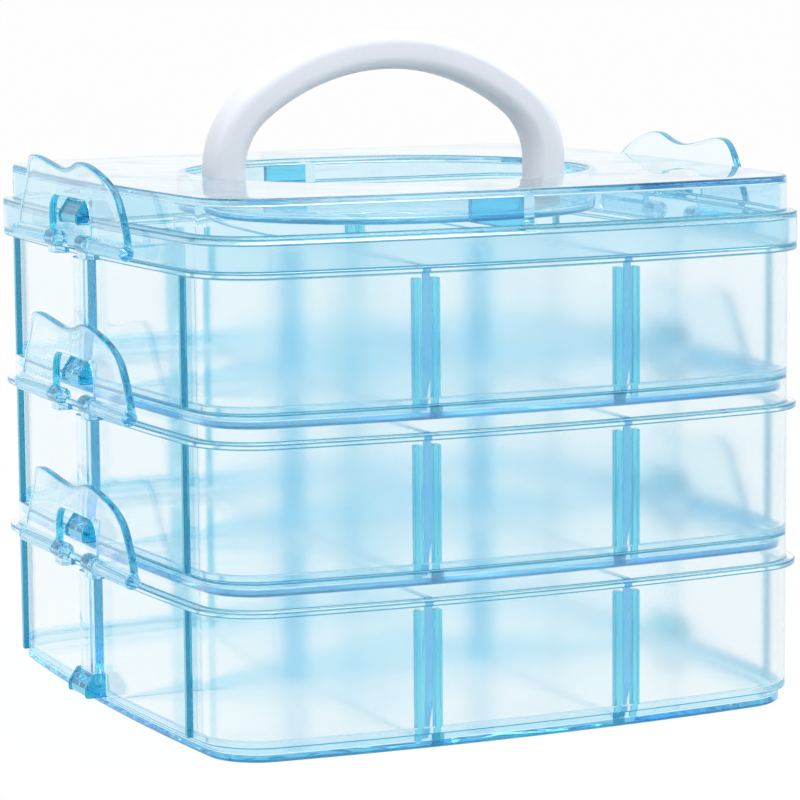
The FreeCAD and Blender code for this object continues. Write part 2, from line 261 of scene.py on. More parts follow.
def fused(name, base, added=(), cut=()):
    """One closed skin: the base, united with each added solid, less each cut solid, and then without
    the slivers that a Boolean leaves where two faces nearly meet."""
    made = [bpy.data.objects.new(name, mesh_of(name, s)) for s in (base, *added, *cut)]
    for obj in made:
        scene.collection.objects.link(obj)
    for k, obj in enumerate(made[1:]):
        boolean = made[0].modifiers.new("fuse", "BOOLEAN")
        boolean.operation = "UNION" if k < len(added) else "DIFFERENCE"
        boolean.solver = "MANIFOLD"
        boolean.object = obj
    graph = bpy.context.evaluated_depsgraph_get()
    mesh = bpy.data.meshes.new_from_object(made[0].evaluated_get(graph))
    for obj in made:
        bpy.data.meshes.remove(obj.data)
    mesh.name = name
    shape = bmesh.new()
    shape.from_mesh(mesh)
    bmesh.ops.dissolve_degenerate(shape, edges=shape.edges, dist=SLIVER)
    shape.to_mesh(mesh)
    shape.free()
    return mesh


def lifted(mesh, name, height):
    """A copy of a mesh, raised by a height in millimetres."""
    copy = mesh.copy()
    copy.name = name
    copy.transform(Matrix.Translation((0, 0, height * MM)))
    return copy


print("solids are fused with slivers under", SLIVER, "m taken out")

# %% [markdown]
# ## What each face carries
#
# On the real box the tint is one and the same, but it shows by depth: a wall seen through its
# thickness is pale, and a rib, a lug or an eased edge, along which light has run, is a strong blue.
# A render of thin walls gives only a part of that, so the rest is painted: each face carries a value
# from 0 to 1, worked out from where it lies and which way it looks, that is partly the real tint of
# thick plastic and partly painted light, with painted dark lines of shade along eased edges. A second
# number marks the plain outsides of the walls, which the mould leaves a little frosted. Both are
# attributes of the mesh, so they stay with the surface in every view.

# %% Tint with painted light, and frost
# This attribute holds the plastic's tint together with painted light and painted shade.
TINT_AND_LIGHT, FROST = "tint and painted light", "frost"
PLAIN_DEPTH, UPRIGHT, OUTER_WALL = 0.15, 0.1, 60
SIDE_FROST, STRIP_LOW, STRIP_HIGH = 0.3, 0.2, 0.9
# A hair parts two planes. Near and off are slack for a face's place.
HAIR, NEAR, OFF = 0.02, 0.05, 0.03


def tinted(mesh, tint_and_light_at):
    """Stores on each face a value of tint and painted light, as a function of the face's middle and its
    normal, and marks the plain outsides of the outer walls as frosted: by side share + (1 - side share)
    * (normal's y squared), so in full at the front and back and less at the sides."""
    middle, normal = np.empty(len(mesh.polygons) * 3), np.empty(len(mesh.polygons) * 3)
    mesh.polygons.foreach_get("center", middle)
    mesh.polygons.foreach_get("normal", normal)
    middle, normal = middle.reshape(-1, 3).T / MM, normal.reshape(-1, 3).T
    depth = np.clip(tint_and_light_at(*middle, normal), 0, 1)
    plain = (depth < PLAIN_DEPTH) & (abs(normal[2]) < UPRIGHT) & ((middle * normal)[:2].sum(0) > OUTER_WALL)
    plain = plain * (SIDE_FROST + (1 - SIDE_FROST) * normal[1] ** 2)
    for name, value in ((TINT_AND_LIGHT, depth), (FROST, plain)):
        mesh.attributes.new(name, "FLOAT", "FACE").data.foreach_set("value", value.astype(np.float32))
    return mesh


# Painted shade: dark lines along eased edges, deeper where the strip looks outward.
def painted_edge_shade(x, y, normal, outer=1.0, inner=0.5):
    """Painted shade on the narrow strips that ease an edge, neither upright nor level: dark lines in place
    of the shade that refraction gives an edge, one value where the strip looks outward, another where it
    looks in."""
    strip = (abs(normal[2]) > STRIP_LOW) & (abs(normal[2]) < STRIP_HIGH)
    return np.where(x * normal[0] + y * normal[1] > 0, outer, inner) * strip


print("attributes", TINT_AND_LIGHT, "and", FROST)

# %% Putting a piece in place of its node
def place(mesh, node, material, crease=35):
    """Shows a mesh in place of a node: smooth but for edges past the crease angle, with normals that
    follow the larger faces, riding on the node's body."""
    obj = bpy.data.objects.new("clear_" + node if "handle" not in node else "white_" + node, mesh)
    scene.collection.objects.link(obj)
    mesh.polygons.foreach_set("use_smooth", np.ones(len(mesh.polygons), bool))
    mesh.set_sharp_from_angle(angle=math.radians(crease))
    mesh.materials.clear()
    mesh.materials.append(material)
    weighted = obj.modifiers.new("weighted normals", "WEIGHTED_NORMAL")
    weighted.keep_sharp = True
    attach(obj, node)
    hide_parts(node)
    return obj


print("nodes to stand in for", len(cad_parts))

# %% [markdown]
# ## Finishes
#
# The clear parts are tinted polystyrene: glass-like, with faint flow ripples from the mould. Volume
# absorption tints them a little, and the rest of the colour is painted into the skin: a ramp turns the
# face's value of tint and painted light from clear over pale and deep to dark blue, so the deep blue of
# ribs is partly real tint and partly painted light, and the dark lines of edges are painted shade.
# Frosted outsides are a little rough, which blurs what stands behind them, and all other faces are
# smooth. Shadow rays pass the plastic with a pale tint, so lamps light what is inside. The handle is an
# opaque white plastic with a fine grain.
# Node trees are written as sums by a small wrapper.

# %% A wire that does arithmetic
class Wire:
    """A node's output. Sums, differences and products of wires add the Math node that does them."""

    def __init__(self, tree, socket):
        self.tree, self.socket = tree, socket

    @classmethod
    def node(cls, tree, kind, settings=(), inputs=(), output=0):
        """Adds one node: its settings first, then the values or wires of its sockets."""
        made = tree.nodes.new("ShaderNode" + kind)
        for name, value in dict(settings).items():
            if name == "stops":  # a new ramp has two stops
                for k, (position, colour) in enumerate(value):
                    stop = made.color_ramp.elements[k] if k < 2 else made.color_ramp.elements.new(position)
                    stop.position, stop.color = position, colour
            else:
                setattr(made, name, value)
        for name, value in dict(inputs).items():
            if isinstance(value, Wire):
                tree.links.new(value.socket, made.inputs[name])
            else:
                made.inputs[name].default_value = value
        return cls(tree, made.outputs[output] if len(made.outputs) else None)

    def combined(self, operation, first, second):
        """One Math node on two wires or numbers."""
        return Wire.node(self.tree, "Math", {"operation": operation}, {0: first, 1: second})

    def __add__(self, other):
        return self.combined("ADD", self, other)

    def __sub__(self, other):
        return self.combined("SUBTRACT", self, other)

    def __rsub__(self, other):
        return self.combined("SUBTRACT", other, self)

    def __mul__(self, other):
        return self.combined("MULTIPLY", self, other)

    __radd__ = __add__
    __rmul__ = __mul__


def new_tree(name):
    """A material with an empty node tree."""
    material = bpy.data.materials.new(name)
    material.use_nodes = True
    material.node_tree.nodes.clear()
    return material, material.node_tree


print("wire ready")

# %% Clear blue plastic
TINT, TINT_DENSITY, SHADOW_TINT = (0.0, 0.66, 0.88, 1), 9.0, (0.86, 0.95, 0.985, 1)
PLASTIC_IOR, TRAY_FROST, GRAIN_SWING, CLOUD_SWING = 1.49, 0.22, 0.04, 0.04
# The deep and dark stops are partly the real tint and partly painted light and painted shade.
TINT_AND_SHADE_STOPS = [(0.0, (1, 1, 1, 1)), (0.1, (0.966, 0.992, 1, 1)),
         (0.85, (0.05, 0.67, 0.92, 1)), (1.0, (0.02, 0.26, 0.41, 1))]


def clear_plastic(name, frost=0.0):
    """Principled shader that transmits, with a rippled normal and constant absorption inside. The skin's
    colour runs from clear over pale and deep to dark with the piece's attribute of tint and painted light,
    which paints light and shade into it, and with a slow cloud.
    Frosted faces are rough, with a fine grain. Shadow rays meet a pale transparent shader."""
    material, tree = new_tree(name)
    spot = Wire.node(tree, "TexCoord", output="Object")
    ripple = Wire.node(tree, "TexNoise", {}, {"Vector": spot, "Scale": 55.0, "Detail": 1.0})
    cloud = Wire.node(tree, "TexNoise", {}, {"Vector": spot, "Scale": 28.0, "Detail": 2.0})
    depth = Wire.node(tree, "Attribute", {"attribute_name": TINT_AND_LIGHT}, output="Fac")
    roughness = 0.0
    if frost:
        grain = Wire.node(tree, "TexNoise", {}, {"Vector": spot, "Scale": 420.0, "Detail": 3.0})
        plain = Wire.node(tree, "Attribute", {"attribute_name": FROST}, output="Fac")
        roughness = plain * (frost + (grain - 0.5) * GRAIN_SWING)
    tone = Wire.node(tree, "ValToRGB", {"stops": TINT_AND_SHADE_STOPS}, {"Fac": depth + (cloud - 0.5) * CLOUD_SWING})
    bump = Wire.node(tree, "Bump", {}, {"Strength": 0.06, "Distance": 0.001, "Height": ripple})
    surface = Wire.node(tree, "BsdfPrincipled", {}, {
        "Base Color": tone, "Roughness": roughness, "IOR": PLASTIC_IOR,
        "Transmission Weight": 1.0, "Normal": bump})
    passing = Wire.node(tree, "BsdfTransparent", {}, {"Color": SHADOW_TINT})
    shadow = Wire.node(tree, "LightPath", output="Is Shadow Ray")
    mixed = Wire.node(tree, "MixShader", {}, {0: shadow, 1: surface, 2: passing})
    inside = Wire.node(tree, "VolumeAbsorption", {}, {"Color": TINT, "Density": TINT_DENSITY})
    Wire.node(tree, "OutputMaterial", {}, {"Surface": mixed, "Volume": inside})
    return material


tray_plastic = clear_plastic("clear blue tray plastic", TRAY_FROST)
latch_plastic = clear_plastic("clear blue latch plastic")
divider_plastic = clear_plastic("clear blue divider plastic")
lid_plastic = clear_plastic("clear blue lid plastic")
print("last clear finish", lid_plastic.name)

# %% White plastic
WHITE_IOR, WHITE_ROUGH, WHITE_SWING = 1.5, 0.36, 0.12
WHITES = [(0.3, (0.86, 0.875, 0.93, 1)), (0.7, (0.90, 0.91, 0.96, 1))]


def white_plastic(name):
    """Satin white with a hint of blue, a fine grain in its bump and a slow change of tone."""
    material, tree = new_tree(name)
    spot = Wire.node(tree, "TexCoord", output="Object")
    grain = Wire.node(tree, "TexNoise", {}, {"Vector": spot, "Scale": 1500.0, "Detail": 3.0})
    cloud = Wire.node(tree, "TexNoise", {}, {"Vector": spot, "Scale": 40.0, "Detail": 2.0})
    tone = Wire.node(tree, "ValToRGB", {"stops": WHITES}, {"Fac": cloud})
    bump = Wire.node(tree, "Bump", {}, {"Strength": 0.12, "Distance": 0.0003, "Height": grain})
    surface = Wire.node(tree, "BsdfPrincipled", {}, {
        "Base Color": tone, "Roughness": WHITE_ROUGH + (grain - 0.5) * WHITE_SWING, "IOR": WHITE_IOR,
        "Normal": bump})
    Wire.node(tree, "OutputMaterial", {}, {"Surface": surface})
    return material


handle_plastic = white_plastic("satin white handle plastic")
print("white finish", handle_plastic.name)

# %% [markdown]
# ## The trays
#
# A tray's wall has a small foot that nests in the rim below, a thin flange that the tier above and
# the latch's ears sit by, and a clear rim. All of that is one profile, carried round the plan. Inside
# there is a fixed wall from side to side and pairs of ribs that hold the dividers. Each side has a
# sloping lug for the latch below, a raised pad and two bored ears for its own latch.

# %% Profile of the tray wall
TIER_PITCH, WALL, FLOOR = 37.6, 1.3, 1.5
FOOT_HEIGHT, FOOT_INSET = 3.5, 1.5
FLANGE_REACH, FLANGE_TOP, FLANGE_THICKNESS = 2.2, 34.8, 1.4
FLANGE_UNDER = FLANGE_TOP - FLANGE_THICKNESS
SEAT_GAP, FLOOR_START = 0.05, -8
RIM_TOP = TIER_PITCH + FOOT_HEIGHT - SEAT_GAP


def eased(stations, steps=4):
    """Open profile of (offset, height, radius) stations, each corner eased by an arc of its radius: the
    arc leaves the first edge and meets the second radius * tan(half the bend) from the corner."""
    s = np.asarray(stations, float)
    rows = [s[:1, :2]]
    for before, here, after in zip(s[:-2], s[1:-1], s[2:]):
        e1, e2 = here[:2] - before[:2], after[:2] - here[:2]
        e1, e2 = e1 / np.linalg.norm(e1), e2 / np.linalg.norm(e2)
        bend = math.atan2(e1[0] * e2[1] - e1[1] * e2[0], e1 @ e2)
        start = here[:2] - e1 * here[2] * math.tan(abs(bend) / 2)
        middle = start + here[2] * np.sign(bend) * np.array([-e1[1], e1[0]])
        a = np.linspace(0, bend, steps)[:, None]
        spoke = start - middle
        rows.append(middle + spoke * np.cos(a) + np.array([-spoke[1], spoke[0]]) * np.sin(a))
    rows.append(s[-1:, :2])
    return np.concatenate(rows)


def carried(profile, outline):
    """Profile of (offset, height) carried round an outline: ring i is point + direction * offset i."""
    points, away = outline
    flat = points[None] + away[None] * profile[:, :1, None]
    tall = np.broadcast_to(profile[:, 1:, None], flat.shape[:2] + (1,))
    return np.concatenate([flat, tall], -1)


tray_profile = eased([
    (FLOOR_START, 0, 0), (-FOOT_INSET, 0, 0.8), (-FOOT_INSET, FOOT_HEIGHT, 0.25), (0, FOOT_HEIGHT, 0.35),
    (0, FLANGE_UNDER, 0.3), (FLANGE_REACH, FLANGE_UNDER, 0.4),
    (FLANGE_REACH, FLANGE_TOP, 0.4), (0, FLANGE_TOP, 0.3), (0, RIM_TOP, 0.45), (-WALL, RIM_TOP, 0.45),
    (-WALL, FOOT_HEIGHT + WALL, 0.5), (-FOOT_INSET - WALL, FOOT_HEIGHT + WALL, 0.3),
    (-FOOT_INSET - WALL, FLOOR, 0.8), (FLOOR_START, FLOOR, 0)])
tray_shell = skin(carried(tray_profile, box))
print("tray profile", len(tray_profile), "stations, shell", len(tray_shell[0]), "points")

# %% Middle wall and divider ribs
MIDDLE_WALL, DIVIDER_THICKNESS, DIVIDER_TOP, DIVIDER_PLACE = 1.6, 2.0, 35.0, 25.4
RIB_WIDTH, RIB_DEPTH, RIB_TOP, SLOT_HALF = 1.7, 2.2, 32.1, 1.4
STEP_HEIGHT, RIB_EASE, RIB_ROUND = FOOT_HEIGHT + WALL / 2, 0.3, 0.35


def wall_inner_y(x):
    """Depth of the back wall's inner face: the bow's centre plus the root of (radius - wall)
    squared - x squared."""
    return BOX_DEPTH / 2 - FRONT_RADIUS + np.sqrt((FRONT_RADIUS - WALL) ** 2 - x * x)


low_x, high_x = BOX_WIDTH / 2 - FOOT_INSET - WALL / 2, BOX_WIDTH / 2 - WALL / 2
middle_wall = bar(rounded_outline([
    (-low_x, FLOOR / 2), (low_x, FLOOR / 2), (low_x, STEP_HEIGHT), (high_x, STEP_HEIGHT),
    (high_x, DIVIDER_TOP), (-high_x, DIVIDER_TOP), (-high_x, STEP_HEIGHT), (-low_x, STEP_HEIGHT)],
    RIB_EASE), -MIDDLE_WALL / 2, MIDDLE_WALL / 2, RIB_EASE, axes="xzy")


def ribs():
    """Upright ribs beside each divider: one through the middle wall and one on each outer wall, whose
    foot steps in over the tray's foot."""
    solids = []
    for middle in [at + sign * (SLOT_HALF + RIB_WIDTH / 2)
                   for at in (-DIVIDER_PLACE, DIVIDER_PLACE) for sign in (-1, 1)]:
        x0, x1 = middle - RIB_WIDTH / 2, middle + RIB_WIDTH / 2
        inner, outer = MIDDLE_WALL / 2 + RIB_DEPTH, wall_inner_y(middle)
        solids.append(bar(rectangle(x0, x1, -inner, inner, RIB_ROUND), FLOOR / 2, RIB_TOP, RIB_EASE))
        side = np.array([(outer - RIB_DEPTH, FLOOR / 2), (outer - FOOT_INSET + WALL / 2, FLOOR / 2),
                         (outer - FOOT_INSET + WALL / 2, STEP_HEIGHT), (outer + WALL / 2, STEP_HEIGHT),
                         (outer + WALL / 2, RIB_TOP), (outer - RIB_DEPTH, RIB_TOP)])
        for sign in (-1, 1):
            corners = side * [sign, 1]
            solids.append(bar(rounded_outline(corners[::sign], RIB_EASE), x0, x1, RIB_EASE, axes="yzx"))
    return together(*solids)


divider_ribs = ribs()
print("ribs", len(divider_ribs[0]), "points")

# %% Lugs
LUG_WIDTH, LUG_BOTTOM, LUG_HEIGHT, LUG_REACH, LUG_SLOPE = 11.5, 3.8, 5.0, 4.9, 3.2
LATCH_STANDOFF, LUG_EASE = 2.8, 0.4
LATCH_INNER, SIDE_X = -(BOX_WIDTH / 2 + LATCH_STANDOFF), -BOX_WIDTH / 2


def lug(root, bottom):
    """Catch with a sloping top: its side view, carried across its width."""
    tip, top = SIDE_X - LUG_REACH, bottom + LUG_HEIGHT
    side = [(root, bottom), (root, top), (LATCH_INNER, top), (tip, top - LUG_SLOPE), (tip, bottom)]
    return bar(rounded_outline(side[::-1], LUG_EASE), -LUG_WIDTH / 2, LUG_WIDTH / 2, LUG_EASE, axes="xzy")


side_lug = lug(SIDE_X + FOOT_INSET, LUG_BOTTOM)
print("lug", len(side_lug[0]), "points")

# %% Bored ears
AXIS_BEHIND, AXIS_ABOVE = 1.7, 2.1
AXIS_X, AXIS_Z = LATCH_INNER - AXIS_BEHIND, FLANGE_TOP + AXIS_ABOVE
EAR_RADIUS, EAR_WIDTH, EAR_OUTER, PIN_RADIUS, PIN_CLEARANCE = 2.1, 5.4, 13.0, 1.2, 0.06
EAR_EASE, ROOT_EASE, BORE_EASE, BORE_OVERRUN = 0.3, 0.15, 0.1, 1


def ears():
    """Bored ears: a round head, a root below it and a shelf that runs in to the wall, all fused later.
    Each lies a hair inside the one before, so that no two faces share a plane."""
    heads, roots, shelves, bores = [], [], [], []
    axis, left, thin = (AXIS_X, AXIS_Z), AXIS_X - EAR_RADIUS / 2, 2 * HAIR
    for y0 in (-EAR_OUTER, EAR_OUTER - EAR_WIDTH):
        y1 = y0 + EAR_WIDTH
        heads.append(bar(circle(axis, EAR_RADIUS), y0, y1, EAR_EASE, axes="xzy"))
        root = rectangle(left, AXIS_X + EAR_RADIUS - NEAR, FLANGE_UNDER + HAIR, AXIS_Z, ROOT_EASE)
        roots.append(bar(root, y0 + HAIR, y1 - HAIR, ROOT_EASE, axes="xzy"))
        shelf = rectangle(left + HAIR, SIDE_X + WALL / 2, FLANGE_UNDER + thin, FLANGE_TOP - HAIR, ROOT_EASE)
        shelves.append(bar(shelf, y0 + thin, y1 - thin, ROOT_EASE, axes="xzy"))
        bores.append(bar(circle(axis, PIN_RADIUS + PIN_CLEARANCE), y0 - BORE_OVERRUN, y1 + BORE_OVERRUN,
                         BORE_EASE, axes="xzy"))
    return together(*heads), together(*roots), together(*shelves), together(*bores)


ear_heads, ear_roots, ear_shelves, ear_bores = ears()
print("ear heads", len(ear_heads[0]), "points")

# %% Pads, ribs and the fused tray
PAD_HALF, PAD_REACH, PAD_GAP = 5, 2.4, 0.4
SIDE_RIB_Y, SIDE_RIB_HALF, SIDE_RIB_REACH = 56, 0.8, 1.4


def side_face(y):
    """Distance of a side's outer face: the bow's centre plus the root of radius squared - y squared."""
    return BOX_WIDTH / 2 - SIDE_RADIUS + np.sqrt(SIDE_RADIUS ** 2 - y * y)


rib_face = side_face(SIDE_RIB_Y)
pad = bar(rectangle(-PAD_HALF, PAD_HALF, LUG_BOTTOM + LUG_HEIGHT / 2, FLANGE_UNDER - PAD_GAP, LUG_EASE),
          SIDE_X - PAD_REACH, SIDE_X + WALL / 2, LUG_EASE, axes="yzx")
side_ribs = [bar(rectangle(-rib_face - SIDE_RIB_REACH, -rib_face + WALL / 2, y - SIDE_RIB_HALF,
                           y + SIDE_RIB_HALF, RIB_EASE),
                 LUG_BOTTOM, FLANGE_TOP - FLANGE_THICKNESS / 2, RIB_EASE) for y in (-SIDE_RIB_Y, SIDE_RIB_Y)]
tray_mesh = fused("tray", tray_shell, [
    middle_wall, divider_ribs, both_sides(side_lug, *side_ribs), both_sides(pad), both_sides(ear_shelves),
    both_sides(ear_roots), both_sides(ear_heads)], [both_sides(ear_bores)])
print("tray", len(tray_mesh.vertices), "points", len(tray_mesh.polygons), "faces")

# %% Tint and painted light of the trays, and all three
TIERS = ["bottom", "middle", "top"]
# Rib, lug, pad, ear and foot values are partly the real tint of thick plastic and partly painted light; the
# edge values paint dark lines of shade.
WALL_TINT, OUTER_RIB_TINT_AND_LIGHT, INNER_RIB_TINT_AND_LIGHT, SIDE_RIB_TINT_AND_LIGHT = 0.1, 0.8, 0.5, 0.88
LUG_TINT_AND_LIGHT, PAD_TINT_AND_LIGHT, EAR_TINT_AND_LIGHT, FOOT_TINT_AND_LIGHT, TRAY_EDGE_SHADES = 0.83, 0.1, 0.25, 0.3, (0.9, 0.4)
UNDER_MARGIN, NEARLY_UPRIGHT = 0.1, 0.15


def tray_tint_and_painted_light(x, y, z, normal):
    """Wall tint plus the larger of two: the tint of the rib, lug, pad, ear or foot that the face's
    middle lies on, partly real and partly painted light, and the painted shade line of an eased edge."""
    ax, ay = abs(x), abs(y)
    beside = abs(abs(ax - DIVIDER_PLACE) - SLOT_HALF - RIB_WIDTH / 2) < RIB_WIDTH / 2 + HAIR
    front, middle = wall_inner_y(x), MIDDLE_WALL / 2
    within = beside & (z > FLOOR + NEAR) & (z < RIB_TOP + NEAR)
    outer_rib = within & (ay > front - RIB_DEPTH - NEAR) & (ay < front - OFF)
    inner_rib = within & (ay > middle + OFF) & (ay < middle + RIB_DEPTH + NEAR)
    outside = ax > side_face(y) + OFF
    low = outside & (z < FLANGE_UNDER - UNDER_MARGIN)
    side_rib = low & (abs(ay - SIDE_RIB_Y) < SIDE_RIB_HALF + NEAR)
    catch = outside & (z < LUG_BOTTOM + LUG_HEIGHT + NEAR) & (ay < LUG_WIDTH / 2 + NEAR) & (z > FOOT_HEIGHT)
    raised = low & (ay < PAD_HALF + NEAR) & ~catch
    ear = (ax > BOX_WIDTH / 2 + FLANGE_REACH + NEAR) & ~catch & ~raised & ~side_rib
    foot = (z < FOOT_HEIGHT) & (abs(normal[2]) < NEARLY_UPRIGHT) & ~catch
    part = OUTER_RIB_TINT_AND_LIGHT * outer_rib + INNER_RIB_TINT_AND_LIGHT * inner_rib + SIDE_RIB_TINT_AND_LIGHT * side_rib + \
        LUG_TINT_AND_LIGHT * catch + PAD_TINT_AND_LIGHT * raised + EAR_TINT_AND_LIGHT * ear + FOOT_TINT_AND_LIGHT * foot
    return WALL_TINT + np.maximum(part, painted_edge_shade(x, y, normal, *TRAY_EDGE_SHADES))


tinted(tray_mesh, tray_tint_and_painted_light)
for tier, name in enumerate(TIERS):
    node = name + "_tray"
    place(lifted(tray_mesh, node, tier * TIER_PITCH), node, tray_plastic)
print("trays", [name + "_tray" for name in TIERS])

# %% [markdown]
# ## The dividers
#
# Each loose divider is a plate with a slanted foot, dropped between a pair of ribs. Twelve of them
# stand in the trays. The plate's side view is carried through its thickness, with eased edges, and it
# stands a hair above the floor so that two clear faces never lie in one plane.

# %% Twelve dividers
DIVIDER_GAP, DIVIDER_RUN, DIVIDER_RISE = 0.4, 2.6, 9.0
# The divider's edge value is painted shade along its narrow edges.
DIVIDER_ROUND, DIVIDER_EASE, DIVIDER_EDGE_SHADE, FACE_MARGIN = 0.45, 0.4, 0.15, 0.1


def divider(x, row, height):
    """Side view in depth and height, carried through the thickness along x."""
    inner = MIDDLE_WALL / 2 + DIVIDER_GAP
    outer = wall_inner_y(abs(x) + DIVIDER_THICKNESS / 2) - DIVIDER_GAP
    foot = FLOOR + SEAT_GAP
    side = np.array([(inner, foot), (outer - DIVIDER_RUN, foot), (outer, FLOOR + DIVIDER_RISE),
                     (outer, DIVIDER_TOP), (inner, DIVIDER_TOP)]) * [row, 1] + [0, height]
    half = DIVIDER_THICKNESS / 2
    return bar(rounded_outline(side[::row], DIVIDER_ROUND), x - half, x + half, DIVIDER_EASE, axes="yzx")


def divider_tint_and_painted_shade(x, y, z, normal):
    """Wall tint, and painted shade on the plate's narrow edges, away from its two broad faces."""
    from_face = abs(abs(abs(x) - DIVIDER_PLACE) - DIVIDER_THICKNESS / 2)
    return WALL_TINT + DIVIDER_EDGE_SHADE * (from_face > FACE_MARGIN)


for tier, name in enumerate(TIERS):
    for depth, row in (("front", -1), ("back", 1)):
        for side, x in (("left", -DIVIDER_PLACE), ("right", DIVIDER_PLACE)):
            node = "%s_divider_%s_%s" % (name, depth, side)
            mesh = tinted(mesh_of(node, divider(x, row, tier * TIER_PITCH)), divider_tint_and_painted_shade)
            place(mesh, node, divider_plastic)

# %% [markdown]
# ## The latches
#
# A latch is a thin bell-shaped plate with two humps along its top and an open window, curling outward
# to a finger edge. Its foot has two barrels with stub pins. The plate is a rounded oblong section
# carried along an arch: one long side follows the window's edge, the other the bell's outline.

# %% A smooth curve and points along it
def spline(points, count):
    """Natural cubic spline through points, read at even steps of chord length: the second derivatives
    solve the usual three-term equations, with zero at both ends."""
    t = np.concatenate([[0], np.cumsum(np.linalg.norm(np.diff(points, axis=0), axis=1))])
    h, n = np.diff(t), len(t)
    rows = np.eye(n)
    known = np.zeros_like(points)
    k = np.arange(1, n - 1)
    rows[k, k - 1], rows[k, k], rows[k, k + 1] = h[:-1], 2 * (h[:-1] + h[1:]), h[1:]
    slope = np.diff(points, axis=0) / h[:, None]
    known[1:-1] = 6 * np.diff(slope, axis=0)
    second = np.linalg.solve(rows, known)
    at = np.linspace(0, t[-1], count)
    i = np.clip(np.searchsorted(t, at) - 1, 0, n - 2)
    a, b, s = (t[i + 1] - at)[:, None], (at - t[i])[:, None], h[i][:, None]
    return (second[i] * a ** 3 + second[i + 1] * b ** 3) / (6 * s) + \
        (points[i] / s - second[i] * s / 6) * a + (points[i + 1] / s - second[i + 1] * s / 6) * b


def along(points, shares):
    """Points at given shares of a polyline's length."""
    length = np.concatenate([[0], np.cumsum(np.linalg.norm(np.diff(points, axis=0), axis=1))])
    at = np.asarray(shares) * length[-1]
    return np.stack([np.interp(at, length, points[:, k]) for k in range(2)], 1)


print("plan half way", along(plan, [0.5]).round(1))

# %% Latch plate
LATCH_BASE, LATCH_HEIGHT, LATCH_THICKNESS, LATCH_ROUND = 37.4, 19.6, 1.9, 0.55
LATCH_FLARE, LATCH_STRAIGHT, MOST_LEAN = 3.3, 10.6, 1.2
WINDOW_HALF, WINDOW_HEIGHT, WINDOW_RADIUS, WINDOW_STEPS = 13.6, 10.2, 4.5, 24
BELL_SHARES = np.array([(1.0, 0.0), (0.965, 0.20), (0.895, 0.44), (0.785, 0.70),
                        (0.625, 0.91), (0.43, 1.0), (0.20, 0.93), (0.0, 0.885)])


def lean(height):
    """How far the plate leans out at a height above its axis: past the straight foot, flare * (share of
    the remaining height) squared."""
    share = (height - LATCH_STRAIGHT) / (LATCH_HEIGHT - LATCH_STRAIGHT)
    return np.clip(share, 0, MOST_LEAN) ** 2 * LATCH_FLARE


def latch_plate(stations=121, bell_steps=400, end_steps=9, run_steps=13):
    """Section at each station: from the window's edge W to the bell's edge B, point W + (B - W) * s, and
    through the thickness, with both ends of the section rounded."""
    half = BELL_SHARES * [LATCH_BASE, LATCH_HEIGHT]
    bell = spline(np.concatenate([half * [-1, 1], half[-2::-1]]), bell_steps)
    opening = rectangle(-WINDOW_HALF, WINDOW_HALF, 0, WINDOW_HEIGHT,
                        [0, 0, WINDOW_RADIUS, WINDOW_RADIUS], WINDOW_STEPS)[0]
    top_corners = opening[2 * WINDOW_STEPS:][::-1]
    window = np.concatenate([[(-WINDOW_HALF, 0)], top_corners, [(WINDOW_HALF, 0)]])
    share = np.linspace(0, 1, stations)
    w, b = along(window, share), along(bell, share)
    width = np.linalg.norm(b - w, axis=1)
    end = np.linspace(-math.pi / 2, math.pi / 2, end_steps)
    run = np.linspace(0, 1, run_steps)[1:-1]
    r = LATCH_ROUND
    far_s = width[:, None] - r + r * np.cos(end)
    far_w = np.sign(end) * (LATCH_THICKNESS / 2 - r) + r * np.sin(end)
    near_s = r - r * np.cos(end)
    across = np.concatenate([far_s, (width[:, None] - r) + (2 * r - width[:, None]) * run,
                             np.broadcast_to(near_s, far_s.shape), r + (width[:, None] - 2 * r) * run], 1)
    rim = np.full(len(run), LATCH_THICKNESS / 2)
    deep = np.concatenate([far_w, rim, far_w[::-1], -rim]) + LATCH_THICKNESS / 2
    flat = w[:, None] + (b - w)[:, None] * (across / width[:, None])[..., None]
    across_side, height = flat[..., 0], flat[..., 1]
    return skin(np.stack([LATCH_INNER - deep - lean(height), across_side, height + AXIS_Z], -1))


plate = latch_plate()
print("latch plate", len(plate[0]), "points, from", plate[0].min(0).round(2), "to", plate[0].max(0).round(2))

# %% Barrels, pins and all six latches
BARREL_RADIUS, BARREL_START, BARREL_EASE = 1.9, 14.1, 0.35
PIN_LENGTH, PIN_ROOT, PIN_EASE, PIN_STEPS = 6.0, 1, 0.2, 24
# Barrel value: partly real tint and partly painted light; window and bell edge values: painted shade lines.
BARREL_TINT_AND_LIGHT, PLATE_TINT, WINDOW_EDGE_SHADE, BELL_EDGE_SHADE = 0.4, 0.15, 0.72, 0.83
EDGE_MARGIN, WINDOW_MARGIN = 0.08, 0.5


def latch_rods(radius, start, stop, ease, steps=40):
    """Two round bars on the latch's axis, from start to stop at one end and mirrored at the other."""
    return together(*[bar(circle((AXIS_X, AXIS_Z), radius, steps), y0, y1, ease, axes="xzy")
                      for y0, y1 in ((start, stop), (-stop, -start))])


barrels = latch_rods(BARREL_RADIUS, BARREL_START, LATCH_BASE, BARREL_EASE)
pins = latch_rods(PIN_RADIUS, BARREL_START - PIN_LENGTH, BARREL_START + PIN_ROOT, PIN_EASE, PIN_STEPS)
latch_mesh = fused("latch", plate, [barrels, pins])


